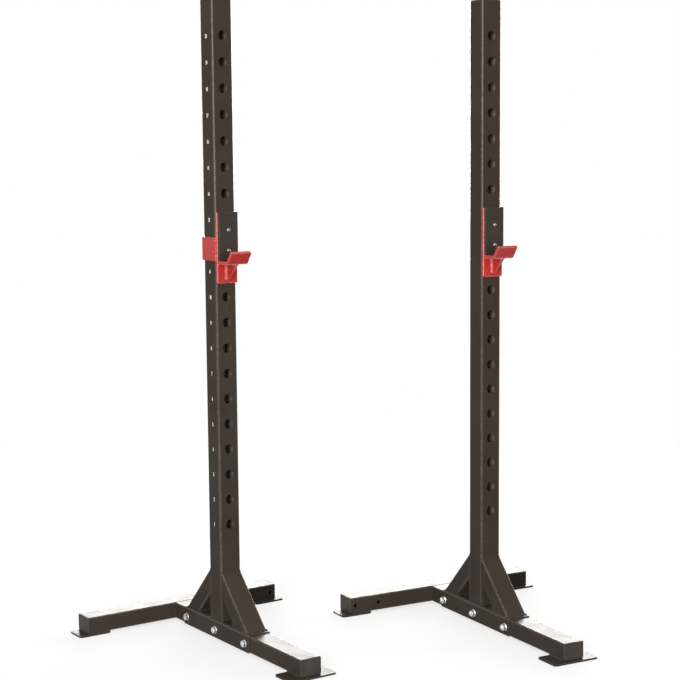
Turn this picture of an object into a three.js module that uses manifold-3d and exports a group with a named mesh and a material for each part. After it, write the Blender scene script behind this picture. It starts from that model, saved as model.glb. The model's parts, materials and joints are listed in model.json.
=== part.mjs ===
// A pair of free-standing squat stands, mirror images of each other. Each has a perforated
// square upright on a bolted T-shaped base, and a J-cup that hangs from one of the holes.
//
// Millimetres, +Z up, fronts towards -Y. The origin is on the floor, in the middle of the
// pair's plan box. A stand is drawn about its own upright: x runs towards its inner side on
// the left stand and away from it on the right one, f (forwards) is -Y, and z is height.
import * as THREE from 'three';
import { mergeVertices } from 'three/addons/utils/BufferGeometryUtils.js';
import Module from 'manifold-3d';

const library = await Module();
library.setup();

// Fits shared by all pieces.
const seat_gap = 0.3;
const overrun = 10;

// Upright: square tube with a column of holes through its front and rear walls.
const upright_width = 60;
const upright_wall = 2.5;
const upright_corner_radius = 5;
const upright_top_height = 1680;
const hole_diameter = 25;
const hole_pitch = 67;
const first_hole_height = 316;
const top_hole_clearance = 60;
const cup_hole_number = 13;

// Legs: the crossbar at the rear and the stem that runs forwards under the upright.
const leg_width = 60;
const leg_height = 45;
const leg_wall = 2.5;
const leg_corner_radius = 4;
const crossbar_length = 592;
const crossbar_setback = 226;
const stem_reach = 414;

// Holes in the crossbar's inner arm, for a bar that joins the two stands.
const link_hole_diameter = 10;
const link_hole_end_distance = 16;
const link_hole_pitch = 74;

// Foot plates under the three leg ends.
const foot_thickness = 5;
const foot_corner_radius = 8;
const front_foot_width = 136;
const front_foot_length = 78;
const front_foot_overhang = 14;
const side_foot_length = 92;
const side_foot_depth = 65;
const side_foot_end_overhang = 26;
const side_foot_front_overhang = 5;

// Plugs that close the tube ends.
const cap_thickness = 3;
const cap_edge_radius = 1.2;
const cap_spigot_depth = 7;
const cap_spigot_wall = 2.5;
const top_plug_inset = 1.5;

// Saddle: folded sheet over the stem, which carries the upright and the braces.
const saddle_length = 340;
const saddle_wall = 3;
const saddle_outer_radius = 5;
const saddle_inner_radius = 2;
const saddle_side_fit = 0.3;

// Braces: mitred tubes in front of and behind the upright.
const brace_width = 60;
const brace_depth = 45;
const brace_wall = 2.5;
const brace_edge_radius = 4;
const brace_reach = 158;
const brace_rise = 133;
const front_toe_height = 18;
const rear_toe_height = 8;

// Bolts across the saddle and the stem.
const bolt_diameter = 10;
const bolt_hole_clearance = 0.4;
const bolt_spacing = 152;
const bolt_head_flats = 16;
const bolt_head_height = 6.4;
const nut_height = 8;
const hex_chamfer = 1.2;
const washer_diameter = 20;
const washer_thickness = 2;
const bolt_tail = 4;

// J-cup: back plate, bent seat, gusset, wrap and pin.
const cup_width = 60;
const cup_plate_thickness = 8;
const cup_plate_above_pin = 19;
const cup_plate_below_pin = 165;
const cup_plate_corner_radius = 8;
const seat_below_pin = 106;
const seat_thickness = 8;
const seat_depth = 50;
const lip_length = 38;
const lip_lean_degrees = 36;
const lip_inner_radius = 2;
const lip_outer_radius = 8;
const gusset_thickness = 6;
const gusset_reach = 47;
const gusset_nose = 3;
const gusset_heel = 7;
const gusset_foot_clearance = 8;
const wrap_height = 61;
const wrap_thickness = 5;
const wrap_top_below_pin = 45;
const wrap_clearance = 0.5;
const wrap_inner_radius = 3;
const wrap_outer_radius = 8;
const wrap_flange_reach = 58;
const wrap_flange_corner_radius = 12;
const pin_clearance = 0.5;
const pin_length = 45;
const pin_chamfer = 2;

// Liner that keeps the bar off the steel, and its two screws.
const liner_thickness = 8;
const liner_edge_radius = 1.5;
const liner_above_seat = 8;
const liner_above_plate = 1;
const screw_diameter = 6;
const screw_hole_clearance = 0.3;
const screw_head_diameter = 11;
const screw_head_height = 3;
const screw_pitch = 53;
const screw_below_pin = 26.5;
const screw_end_clearance = 1;

// Places of the two stands.
const stand_spacing = 656;
const right_stand_lead = 284;
const toe_in_degrees = 5.8;

// Facet counts.
const hole_segments = 16;
const corner_segments = 3;
const cap_corner_segments = 2;
const cap_edge_segments = 1;
const spigot_corner_segments = 1;
const liner_edge_segments = 2;
const hexagon_sides = 6;
const washer_segments = 16;
const round_segments = 12;
const dome_segments = 3;

// Sizes that follow from the ones above.
const leg_bottom = foot_thickness + seat_gap;
const leg_top = leg_bottom + leg_height;
const saddle_half_width = leg_width / 2 + saddle_side_fit + saddle_wall;
const saddle_top = leg_top + seat_gap + saddle_wall;
const deck = saddle_top + seat_gap;
const upright_half = upright_width / 2;
const hole_column_room = upright_top_height - top_hole_clearance - first_hole_height;
const hole_count = 1 + Math.floor(hole_column_room / hole_pitch);
const outer_link_offset = crossbar_length / 2 - link_hole_end_distance;
const pin_height = first_hole_height + (cup_hole_number - 1) * hole_pitch;
const plate_back = upright_half + seat_gap;
const plate_front = plate_back + cup_plate_thickness;
const liner_back = plate_front + seat_gap;
const liner_front = liner_back + liner_thickness;
const cup_front = plate_front + seat_gap;
const seat_top = pin_height - seat_below_pin;
const seat_bottom = seat_top - seat_thickness;
const plate_bottom = pin_height - cup_plate_below_pin;
const plate_top = pin_height + cup_plate_above_pin;
const bolt_height = leg_bottom + leg_height / 2;

// Finishes.
const black_coat = { color: 0x2b2724, roughness: 0.42, metalness: 0.15 };
const black_plastic = { color: 0x1f1d1c, roughness: 0.6, metalness: 0 };
const red_coat = { color: 0xb3272b, roughness: 0.35, metalness: 0.1 };
const bright_zinc = { color: 0xc9ccd0, roughness: 0.28, metalness: 0.95 };

// Closed three.js geometry to a solid that can be cut and joined.
function solid(geometry) {
  const bare = geometry.clone();
  bare.deleteAttribute('normal');
  bare.deleteAttribute('uv');
  const merged = mergeVertices(bare);
  const corners = merged.index.array;
  const triangles = [];
  for (let i = 0; i < corners.length; i += 3) {
    const [a, b, c] = corners.slice(i, i + 3);
    if (a !== b && b !== c && c !== a) {
      triangles.push(a, b, c);
    }
  }
  return new library.Manifold(new library.Mesh({
    numProp: 3,
    vertProperties: new Float32Array(merged.attributes.position.array),
    triVerts: new Uint32Array(triangles),
  }));
}

function meshFrom(name, finish, body) {
  const { vertProperties, triVerts } = body.getMesh();
  const geometry = new THREE.BufferGeometry();
  geometry.setAttribute('position', new THREE.BufferAttribute(new Float32Array(vertProperties), 3));
  geometry.setIndex(new THREE.BufferAttribute(new Uint32Array(triVerts), 1));
  geometry.computeVertexNormals();
  const mesh = new THREE.Mesh(geometry, new THREE.MeshStandardMaterial(finish));
  mesh.name = name;
  return mesh;
}

// Outline helpers. A rounded polygon's corners are [u, v, radius].
function roundedShape(corners) {
  const shape = new THREE.Shape();
  corners.forEach(([u, v, radius], i) => {
    const here = new THREE.Vector2(u, v);
    const before = corners[(i + corners.length - 1) % corners.length];
    const after = corners[(i + 1) % corners.length];
    const back = new THREE.Vector2(before[0], before[1]).sub(here);
    const ahead = new THREE.Vector2(after[0], after[1]).sub(here);
    const half = Math.abs(back.angleTo(ahead)) / 2;
    const cut = radius / Math.tan(half);
    const start = here.clone().addScaledVector(back.normalize(), cut);
    const end = here.clone().addScaledVector(ahead.normalize(), cut);
    if (i === 0) {
      shape.moveTo(start.x, start.y);
    } else {
      shape.lineTo(start.x, start.y);
    }
    if (radius > 0) {
      const turn = Math.sign(back.cross(ahead));
      const inward = new THREE.Vector2(-back.y, back.x).multiplyScalar(turn);
      const centre = start.clone().addScaledVector(inward, radius);
      const from = Math.atan2(start.y - centre.y, start.x - centre.x);
      const to = Math.atan2(end.y - centre.y, end.x - centre.x);
      shape.absarc(centre.x, centre.y, radius, from, to, turn > 0);
    }
  });
  return shape;
}

function rectangle(width, height, radius) {
  const u = width / 2;
  const v = height / 2;
  return roundedShape([[-u, -v, radius], [u, -v, radius], [u, v, radius], [-u, v, radius]]);
}

function extrude(shape, depth, curveSegments = corner_segments) {
  return new THREE.ExtrudeGeometry(shape, { depth, bevelEnabled: false, curveSegments });
}

const to_side = new THREE.Matrix4().makeBasis(
  new THREE.Vector3(0, -1, 0), new THREE.Vector3(0, 0, 1), new THREE.Vector3(-1, 0, 0));
const to_front = new THREE.Matrix4().makeBasis(
  new THREE.Vector3(1, 0, 0), new THREE.Vector3(0, 0, 1), new THREE.Vector3(0, -1, 0));

// A side profile (forwards, up) of the given width, centred across the stand.
function sideSolid(shape, width) {
  return solid(extrude(shape, width).applyMatrix4(to_side).translate(width / 2, 0, 0));
}

// A front profile (across, up) that runs forwards from `start` for `depth`.
function frontSolid(shape, start, depth) {
  return solid(extrude(shape, depth).applyMatrix4(to_front).translate(0, -start, 0));
}

// A plan profile (across, -forwards) that rises from `bottom` for `height`.
function planSolid(shape, bottom, height, curveSegments) {
  return solid(extrude(shape, height, curveSegments).translate(0, 0, bottom));
}

// Round cutters and bars along the stand's three directions.
function barForwards(radius, length, x, forwards, height, segments) {
  const bar = new THREE.CylinderGeometry(radius, radius, length, segments);
  return solid(bar.translate(x, -forwards, height));
}

function barAcross(radius, length, x, forwards, height, segments) {
  const bar = new THREE.CylinderGeometry(radius, radius, length, segments);
  return solid(bar.rotateZ(Math.PI / 2).translate(x, -forwards, height));
}

// A turned piece. Its profile is [radius, distance along the axis], from the axis to the axis.
function turned(profile, segments) {
  const points = profile.map(([radius, along]) => new THREE.Vector2(radius, along));
  return new THREE.LatheGeometry(points, segments);
}

// Rectangular tube along f, with its section centred at x = 0 and the given height.
function tubeForwards(start, end) {
  const wall_twice = 2 * leg_wall;
  const inner_radius = leg_corner_radius - leg_wall;
  const outer = rectangle(leg_width, leg_height, leg_corner_radius);
  const bore = rectangle(leg_width - wall_twice, leg_height - wall_twice, inner_radius);
  const skin = frontSolid(outer, start, end - start);
  const hollow = frontSolid(bore, start - overrun, end - start + 2 * overrun);
  return skin.subtract(hollow).translate([0, 0, bolt_height]);
}

// Base pieces.
function makeStem() {
  const start = seat_gap - crossbar_setback;
  const end = stem_reach - cap_thickness - seat_gap;
  let stem = tubeForwards(start, end);
  for (const forwards of [-bolt_spacing, 0, bolt_spacing]) {
    const radius = bolt_diameter / 2 + bolt_hole_clearance;
    stem = stem.subtract(barAcross(radius, leg_width + overrun, 0, forwards, bolt_height, round_segments));
  }
  return stem;
}

function makeCrossbar(inner) {
  const half = crossbar_length / 2 - cap_thickness - seat_gap;
  const middle = crossbar_setback + leg_width / 2;
  let crossbar = tubeForwards(-half, half).rotate([0, 0, 90]).translate([0, middle, 0]);
  for (const offset of [outer_link_offset - link_hole_pitch, outer_link_offset]) {
    const radius = link_hole_diameter / 2;
    const length = leg_width + overrun;
    const cutter = barForwards(radius, length, inner * offset, -middle, bolt_height, round_segments);
    crossbar = crossbar.subtract(cutter);
  }
  return crossbar;
}

// A plug with a head that covers a tube's end and a hollow spigot inside it, along +Z.
function makePlug(width, height, radius, wall, head_inset) {
  const head = new THREE.ExtrudeGeometry(
    rectangle(width - 2 * head_inset, height - 2 * head_inset, radius),
    {
      depth: cap_thickness - cap_edge_radius,
      bevelThickness: cap_edge_radius,
      bevelSize: cap_edge_radius,
      bevelOffset: -cap_edge_radius,
      bevelSegments: cap_edge_segments,
      curveSegments: cap_corner_segments,
    });
  const shave = planSolid(rectangle(width, height, 0), -overrun, overrun);
  const spigot_width = width - 2 * (wall + seat_gap);
  const spigot_height = height - 2 * (wall + seat_gap);
  const spigot_shape = rectangle(spigot_width, spigot_height, radius - wall);
  const spigot_length = cap_spigot_depth + seat_gap;
  const spigot = planSolid(spigot_shape, -cap_spigot_depth, spigot_length, spigot_corner_segments);
  const cavity_shape = rectangle(spigot_width - 2 * cap_spigot_wall, spigot_height - 2 * cap_spigot_wall, 0);
  const cavity = planSolid(cavity_shape, -cap_spigot_depth - overrun, cap_spigot_depth + overrun);
  return solid(head).subtract(shave).add(spigot).subtract(cavity);
}

function makeLegPlug() {
  return makePlug(leg_height, leg_width, leg_corner_radius, leg_wall, 0);
}

function makeStemPlug() {
  const along = stem_reach - cap_thickness;
  return makeLegPlug().rotate([0, 90, -90]).translate([0, -along, bolt_height]);
}

function makeCrossbarPlug(direction) {
  const x = direction * (crossbar_length / 2 - cap_thickness);
  const y = crossbar_setback + leg_width / 2;
  const turn = direction > 0 ? 0 : 180;
  return makeLegPlug().rotate([0, 90, turn]).translate([x, y, bolt_height]);
}

function makeTopPlug() {
  const plug = makePlug(upright_width, upright_width, upright_corner_radius, upright_wall, top_plug_inset);
  return plug.translate([0, 0, upright_top_height + seat_gap]);
}

function makeFrontFoot() {
  const y = front_foot_length / 2 - front_foot_overhang - stem_reach;
  const shape = rectangle(front_foot_width, front_foot_length, foot_corner_radius);
  return planSolid(shape, 0, foot_thickness).translate([0, y, 0]);
}

function makeSideFoot(direction) {
  const x = direction * (crossbar_length / 2 + side_foot_end_overhang - side_foot_length / 2);
  const y = crossbar_setback - side_foot_front_overhang + side_foot_depth / 2;
  const shape = rectangle(side_foot_length, side_foot_depth, foot_corner_radius);
  return planSolid(shape, 0, foot_thickness).translate([x, y, 0]);
}

// Saddle: inverted U of folded sheet, open below.
function makeSaddle() {
  const out = saddle_half_width;
  const inside = out - saddle_wall;
  const under = saddle_top - saddle_wall;
  const section = roundedShape([
    [-out, leg_bottom, 0],
    [-inside, leg_bottom, 0],
    [-inside, under, saddle_inner_radius],
    [inside, under, saddle_inner_radius],
    [inside, leg_bottom, 0],
    [out, leg_bottom, 0],
    [out, saddle_top, saddle_outer_radius],
    [-out, saddle_top, saddle_outer_radius],
  ]);
  let saddle = frontSolid(section, -saddle_length / 2, saddle_length);
  for (const forwards of [-bolt_spacing, 0, bolt_spacing]) {
    const radius = bolt_diameter / 2 + bolt_hole_clearance;
    saddle = saddle.subtract(barAcross(radius, 2 * out + overrun, 0, forwards, bolt_height, round_segments));
  }
  return saddle;
}

// Upright: the tube less one row of bars that open both walls.
function makeUpright() {
  const height = upright_top_height - deck;
  const bore_width = upright_width - 2 * upright_wall;
  const outer = planSolid(rectangle(upright_width, upright_width, upright_corner_radius), deck, height);
  const bore_shape = rectangle(bore_width, bore_width, upright_corner_radius - upright_wall);
  const bore = planSolid(bore_shape, deck - overrun, height + 2 * overrun);
  let upright = outer.subtract(bore);
  const length = upright_width + overrun;
  for (let number = 0; number < hole_count; number += 1) {
    const z = first_hole_height + number * hole_pitch;
    upright = upright.subtract(barForwards(hole_diameter / 2, length, 0, 0, z, hole_segments));
  }
  return upright;
}

// Brace: a sloping tube whose upper end is cut to the upright and whose lower end is cut to
// the deck, with a short upright toe at its inner corner. Drawn forwards, turned for the rear.
function makeBrace(toe_height, direction) {
  const face = upright_half + seat_gap;
  const top = deck + brace_rise;
  const slope = brace_rise / (brace_reach - face);
  const drop = brace_depth * Math.hypot(1, slope);
  const toe = face + (brace_rise - drop - toe_height) / slope;
  const outline = (inset, beyond) => {
    const lower = inset * Math.hypot(1, slope);
    const level = (forwards, fall) => top - fall - (forwards - face) * slope;
    const inner_toe = toe + inset;
    const start = face - beyond;
    const foot = brace_reach - (lower - beyond) / slope;
    return roundedShape([
      [start, level(start, lower), 0],
      [foot, deck - beyond, 0],
      [inner_toe, deck - beyond, 0],
      [inner_toe, level(inner_toe, drop - lower), 0],
      [start, level(start, drop - lower), 0],
    ]);
  };
  const skin_shape = outline(0, overrun);
  const skin = solid(new THREE.ExtrudeGeometry(skin_shape, {
    depth: brace_width - 2 * brace_edge_radius,
    bevelThickness: brace_edge_radius,
    bevelSize: brace_edge_radius,
    bevelOffset: -brace_edge_radius,
    bevelSegments: corner_segments,
    curveSegments: corner_segments,
  }).applyMatrix4(to_side).translate(brace_width / 2 - brace_edge_radius, 0, 0));
  const hollow = sideSolid(outline(brace_wall, 2 * overrun), brace_width - 2 * brace_wall);
  const space = sideSolid(roundedShape([
    [face, deck, 0],
    [brace_reach + overrun, deck, 0],
    [brace_reach + overrun, top + overrun, 0],
    [face, top + overrun, 0],
  ]), brace_width + overrun);
  const brace = skin.subtract(hollow).intersect(space);
  return direction > 0 ? brace : brace.rotate([0, 0, 180]);
}

// Hexagon prism along +Z from `bottom`, with its outer corners turned off at the far end.
function hexagon(bottom, height) {
  const corner_radius = bolt_head_flats / Math.sqrt(3);
  const prism = new THREE.CylinderGeometry(corner_radius, corner_radius, height, hexagon_sides);
  const body = solid(prism.rotateX(Math.PI / 2).translate(0, 0, bottom + height / 2));
  const limit = solid(turned([
    [0, bottom - overrun],
    [corner_radius + hex_chamfer, bottom - overrun],
    [corner_radius + hex_chamfer, bottom + height - 2 * hex_chamfer],
    [corner_radius - hex_chamfer, bottom + height],
    [0, bottom + height],
  ], round_segments).rotateX(Math.PI / 2));
  return body.intersect(limit);
}

function discAlong(radius, bottom, height, segments) {
  const disc = new THREE.CylinderGeometry(radius, radius, height, segments);
  return solid(disc.rotateX(Math.PI / 2).translate(0, 0, bottom + height / 2));
}

// Bolt with its washer, along +Z: the washer's underside is at 0 and the head is above it.
function makeBolt(outer, forwards) {
  const grip = 2 * (saddle_half_width + seat_gap);
  const length = grip + washer_thickness + nut_height + bolt_tail;
  const washer = discAlong(washer_diameter / 2, 0, washer_thickness, washer_segments);
  const head = hexagon(washer_thickness / 2, bolt_head_height + washer_thickness / 2);
  const shank = discAlong(bolt_diameter / 2, -length, length + washer_thickness, round_segments);
  const bolt = washer.add(head).add(shank);
  const x = outer * (saddle_half_width + seat_gap);
  return bolt.rotate([0, outer * 90, 0]).translate([x, -forwards, bolt_height]);
}

// Nut with its washer, along +Z from the washer's underside.
function makeNut(inner, forwards) {
  const washer = discAlong(washer_diameter / 2, 0, washer_thickness, washer_segments);
  const body = hexagon(washer_thickness / 2, nut_height + washer_thickness / 2);
  const thickness = nut_height + washer_thickness;
  const bore = discAlong(bolt_diameter / 2 + seat_gap, -overrun, thickness + 2 * overrun, round_segments);
  const nut = washer.add(body).subtract(bore);
  const x = inner * (saddle_half_width + seat_gap);
  return nut.rotate([0, inner * 90, 0]).translate([x, -forwards, bolt_height]);
}

// J-cup pieces.
function screwHeights() {
  return [0, 1].map((row) => pin_height - screw_below_pin - row * screw_pitch);
}

function drillForScrews(body) {
  const radius = screw_diameter / 2 + screw_hole_clearance;
  const length = cup_plate_thickness + liner_thickness + overrun;
  const middle = (plate_back + liner_front) / 2;
  return screwHeights().reduce(
    (left, z) => left.subtract(barForwards(radius, length, 0, middle, z, round_segments)), body);
}

function makeCupPlate() {
  const half = cup_width / 2;
  const shape = roundedShape([
    [-half, plate_bottom, cup_plate_corner_radius],
    [half, plate_bottom, cup_plate_corner_radius],
    [half, plate_top, 0],
    [-half, plate_top, 0],
  ]);
  return drillForScrews(frontSolid(shape, plate_back, cup_plate_thickness));
}

// Seat and lip: one flat bar bent up and outwards at its front end.
function makeCupSeat() {
  const lean = THREE.MathUtils.degToRad(lip_lean_degrees);
  const along = [Math.sin(lean), Math.cos(lean)];
  const across = [-Math.cos(lean), Math.sin(lean)];
  const knee = cup_front + seat_depth;
  const tip = [knee + along[0] * lip_length, seat_bottom + along[1] * lip_length];
  const inner_tip = [tip[0] + across[0] * seat_thickness, tip[1] + across[1] * seat_thickness];
  const inner_knee = inner_tip[0] - (inner_tip[1] - seat_top) * Math.tan(lean);
  const shape = roundedShape([
    [cup_front, seat_bottom, 0],
    [knee, seat_bottom, lip_outer_radius],
    [tip[0], tip[1], 0],
    [inner_tip[0], inner_tip[1], 0],
    [inner_knee, seat_top, lip_inner_radius],
    [cup_front, seat_top, 0],
  ]);
  return sideSolid(shape, cup_width);
}

function makeCupGusset() {
  const top = seat_bottom - seat_gap;
  const foot = plate_bottom + gusset_foot_clearance;
  const shape = roundedShape([
    [cup_front, foot, 0],
    [cup_front + gusset_heel, foot, 0],
    [cup_front + gusset_reach, top - gusset_nose, 0],
    [cup_front + gusset_reach, top, 0],
    [cup_front, top, 0],
  ]);
  return sideSolid(shape, gusset_thickness);
}

// Wrap: flat bar that runs back along the outer side and turns in behind the upright.
function makeCupWrap(outer) {
  const near = upright_half + wrap_clearance;
  const far = near + wrap_thickness;
  const end = near - wrap_flange_reach;
  const plan = roundedShape([
    [outer * far, -plate_front, 0],
    [outer * far, far, wrap_outer_radius],
    [outer * end, far, 0],
    [outer * end, near, 0],
    [outer * near, near, wrap_inner_radius],
    [outer * near, -plate_front, 0],
  ]);
  const top = pin_height - wrap_top_below_pin;
  const bottom = top - wrap_height;
  const band = planSolid(plan, bottom, wrap_height);
  const face = roundedShape([
    [outer * end, bottom, wrap_flange_corner_radius],
    [outer * (far + overrun), bottom, 0],
    [outer * (far + overrun), top, 0],
    [outer * end, top, wrap_flange_corner_radius],
  ]);
  const depth = far + plate_front + 2 * overrun;
  return band.intersect(frontSolid(face, -far - overrun, depth));
}

function makeCupPin() {
  const radius = hole_diameter / 2 - pin_clearance;
  const profile = [
    [0, 0],
    [radius, 0],
    [radius, pin_length - pin_chamfer],
    [radius - pin_chamfer, pin_length],
    [0, pin_length],
  ];
  return solid(turned(profile, hole_segments).translate(0, -upright_half, pin_height));
}

function makeCupLiner() {
  const half = cup_width / 2 - liner_edge_radius;
  const bottom = seat_top + liner_above_seat + liner_edge_radius;
  const top = plate_top + liner_above_plate - liner_edge_radius;
  const shape = roundedShape([[-half, bottom, 0], [half, bottom, 0], [half, top, 0], [-half, top, 0]]);
  const block = new THREE.ExtrudeGeometry(shape, {
    depth: liner_thickness - liner_edge_radius,
    bevelThickness: liner_edge_radius,
    bevelSize: liner_edge_radius,
    bevelSegments: liner_edge_segments,
  });
  const body = solid(block.applyMatrix4(to_front).translate(0, -liner_back, 0));
  const behind = frontSolid(rectangle(2 * cup_width, 2 * (plate_top + overrun), 0), 0, liner_back);
  return drillForScrews(body.subtract(behind));
}

// Domed screw, its head on the liner and its shank in the plate.
function makeLinerScrew(height) {
  const length = liner_front - plate_back - screw_end_clearance;
  const profile = [[0, -length], [screw_diameter / 2, -length], [screw_diameter / 2, 0]];
  for (let step = 0; step <= dome_segments; step += 1) {
    const angle = (step / dome_segments) * Math.PI / 2;
    profile.push([Math.cos(angle) * screw_head_diameter / 2, Math.sin(angle) * screw_head_height]);
  }
  profile[profile.length - 1][0] = 0;
  const screw = turned(profile, round_segments).rotateX(Math.PI);
  return solid(screw.translate(0, -liner_front - seat_gap, height));
}

// One stand. `inner` is +1 where its inner side is +X and -1 where it is -X.
function makeStand(side, inner) {
  const stand = new THREE.Group();
  const add = (name, finish, body) => stand.add(meshFrom(`${side}_${name}`, finish, body));
  add('stem', black_coat, makeStem());
  add('crossbar', black_coat, makeCrossbar(inner));
  add('stem_end_cap', black_plastic, makeStemPlug());
  add('crossbar_cap_outer', black_plastic, makeCrossbarPlug(-inner));
  add('crossbar_cap_inner', black_plastic, makeCrossbarPlug(inner));
  add('foot_front', black_coat, makeFrontFoot());
  add('foot_outer', black_coat, makeSideFoot(-inner));
  add('foot_inner', black_coat, makeSideFoot(inner));
  add('saddle', black_coat, makeSaddle());
  add('upright', black_coat, makeUpright());
  add('brace_front', black_coat, makeBrace(front_toe_height, 1));
  add('brace_rear', black_coat, makeBrace(rear_toe_height, -1));
  add('top_plug', black_plastic, makeTopPlug());
  const places = { rear: -bolt_spacing, middle: 0, front: bolt_spacing };
  for (const [place, forwards] of Object.entries(places)) {
    add(`bolt_${place}`, bright_zinc, makeBolt(-inner, forwards));
    add(`nut_${place}`, bright_zinc, makeNut(inner, forwards));
  }
  add('cup_plate', red_coat, makeCupPlate());
  add('cup_seat', red_coat, makeCupSeat());
  add('cup_gusset', red_coat, makeCupGusset());
  add('cup_wrap', red_coat, makeCupWrap(-inner));
  add('cup_pin', bright_zinc, makeCupPin());
  add('cup_liner', black_plastic, makeCupLiner());
  const [upper, lower] = screwHeights();
  add('liner_screw_upper', bright_zinc, makeLinerScrew(upper));
  add('liner_screw_lower', bright_zinc, makeLinerScrew(lower));
  return stand;
}

const left_stand = makeStand('left', 1);
const right_stand = makeStand('right', -1);
right_stand.position.set(stand_spacing, -right_stand_lead, 0);
right_stand.rotation.z = -THREE.MathUtils.degToRad(toe_in_degrees);

const pair = new THREE.Group();
pair.add(left_stand, right_stand);
const plan_box = new THREE.Box3().setFromObject(pair, true);
const middle = plan_box.getCenter(new THREE.Vector3());
pair.position.set(-middle.x, -middle.y, 0);

const squat_stands = new THREE.Group();
squat_stands.add(pair);
squat_stands.updateMatrixWorld(true);

export default squat_stands;
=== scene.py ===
"""Looks of a pair of squat stands: perforated uprights on bolted T-shaped bases, red J-cups.

Pieces are drawn for the left stand, about the foot of its upright: x runs towards the other
stand, y backwards and z up, in metres. The right stand gets the same pieces mirrored.
"""
import json
from math import atan2, cos, hypot, pi, radians, sin, sqrt, tan

import bmesh
import bpy
from bpy.types import Operator, Panel, PropertyGroup
from mathutils import Matrix, Vector


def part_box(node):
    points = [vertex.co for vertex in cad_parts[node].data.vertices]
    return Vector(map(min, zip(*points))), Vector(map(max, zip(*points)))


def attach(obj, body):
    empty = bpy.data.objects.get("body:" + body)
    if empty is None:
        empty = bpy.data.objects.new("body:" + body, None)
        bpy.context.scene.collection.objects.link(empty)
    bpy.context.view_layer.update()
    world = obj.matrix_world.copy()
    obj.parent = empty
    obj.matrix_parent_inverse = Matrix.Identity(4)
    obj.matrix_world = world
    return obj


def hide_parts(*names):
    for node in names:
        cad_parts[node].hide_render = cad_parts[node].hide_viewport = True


bl_info = {
    "name": "Squat stands",
    "version": (1, 0, 0),
    "blender": (4, 5, 0),
    "location": "3D Viewport > Sidebar > Squat stands",
    "description": "Builds a pair of squat stands with J-cups, and a studio round them",
    "category": "Add Mesh",
}

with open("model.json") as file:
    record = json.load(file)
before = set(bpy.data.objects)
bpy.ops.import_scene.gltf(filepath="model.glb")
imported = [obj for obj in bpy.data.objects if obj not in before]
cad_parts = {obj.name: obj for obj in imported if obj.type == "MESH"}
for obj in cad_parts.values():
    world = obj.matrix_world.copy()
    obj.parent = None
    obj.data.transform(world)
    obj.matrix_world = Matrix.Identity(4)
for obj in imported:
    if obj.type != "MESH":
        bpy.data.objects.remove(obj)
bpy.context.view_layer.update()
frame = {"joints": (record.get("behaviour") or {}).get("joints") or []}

SIDES = ("left", "right")
ROOT, CUP = "stands", "cup"
PLACES = ("rear", "middle", "front")
SLOTS = {
    "Frame coat": "black_coat",
    "Cup coat": "red_coat",
    "Zinc plate": "zinc_fasteners",
    "Dark zinc plate": "zinc_fasteners",
    "Cap plastic": "cap_plastic",
    "Liner plastic": "liner_plastic",
}

# Values that meshes carry, and the kinds of face.
BEAD_RADIUS = "bead_radius"
# The edge share glosses edges, and in the powder coats also paints them paler, a painted highlight.
EDGE_SHARE = "edge_share"
BORE_SHARE = "bore_share"
OUTSIDE, BORE, ROUNDING = range(3)

# How far a cutter runs past what it cuts, the play between two pieces, and how far a plug runs
# into its own head.
OVERRUN = 0.01
PLAY = 0.0003
SUNK = 0.0001

# Width and steps of rounded edges, and the angle in degrees from which an edge is sharp.
TUBE_EDGES = (0.0005, 2, 40)
CAP_EDGES = (0.0011, 3, 40)
FOOT_EDGES = (0.0007, 2, 40)
SHEET_EDGES = (0.0006, 2, 40)
BRACE_EDGES = (0.0004, 2, 50)
PLATE_EDGES = (0.0018, 3, 40)
SEAT_EDGES = (0.0009, 3, 40)
WRAP_EDGES = (0.0008, 2, 50)
LINER_EDGES = (0.0014, 3, 40)
FASTENER_EDGES = (0.0003, 2, 50)
SCREW_EDGES = (0.00015, 2, 50)


# Places that the frame gives.
def middle_of(node):
    low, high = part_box(node)
    return (low + high) / 2


def foot_of(side):
    place = middle_of(side + "_upright")
    return Vector((place.x, place.y, 0))


def forward_of(side):
    """The way a stand faces, read from its J-cup's hinge."""
    hinge = next(j for j in frame["joints"] if j["child"] == side + "_cup")
    axis = Vector(hinge["axis"])
    return axis if axis.y < 0 else -axis


def mirror_of(side):
    return Matrix.Scale(-1 if side == "right" else 1, 4, (1, 0, 0))


def stand_matrix(side):
    """Takes a piece drawn for the left stand to its place on either stand."""
    forward = forward_of(side)
    turn = Matrix.Rotation(atan2(forward.x, -forward.y), 4, "Z")
    return Matrix.Translation(foot_of(side)) @ turn @ mirror_of(side)


def near_box(node):
    """A left node's low and high corners, measured from the foot of its upright."""
    low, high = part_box("left_" + node)
    return low - foot_of("left"), high - foot_of("left")


def turned(rows, start=(0, 0, 0)):
    """Matrix from the three rows of a turn, and the point where the origin goes."""
    return Matrix.Translation(start) @ Matrix(rows).to_4x4()


# Outlines and solids in mesh code.
def rounded_outline(corners, steps=6):
    """Points round a polygon whose corners are (u, v, radius)."""
    points = []
    for i, (u, v, radius) in enumerate(corners):
        here = Vector((u, v))
        back = (Vector(corners[i - 1][:2]) - here).normalized()
        ahead = (Vector(corners[(i + 1) % len(corners)][:2]) - here).normalized()
        if radius == 0:
            points.append(here)
            continue
        half = back.angle(ahead) / 2
        middle = here + (back + ahead).normalized() * (radius / sin(half))
        start = here + back * (radius / tan(half)) - middle
        end = here + ahead * (radius / tan(half)) - middle
        sweep = start.angle_signed(end)
        for step in range(steps + 1):
            points.append(middle + Matrix.Rotation(-sweep * step / steps, 2) @ start)
    return points


def rectangle(low, high, radius=0, steps=8):
    corners = (low, (high[0], low[1]), high, (low[0], high[1]))
    return rounded_outline([(*corner, radius) for corner in corners], steps)


def from_side(u, v, depth):
    """Profile drawn forwards and up, with its depth across the stand."""
    return Vector((depth, -u, v))


def from_front(u, v, depth):
    """Profile drawn across and up, with its depth forwards."""
    return Vector((u, -depth, v))


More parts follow.
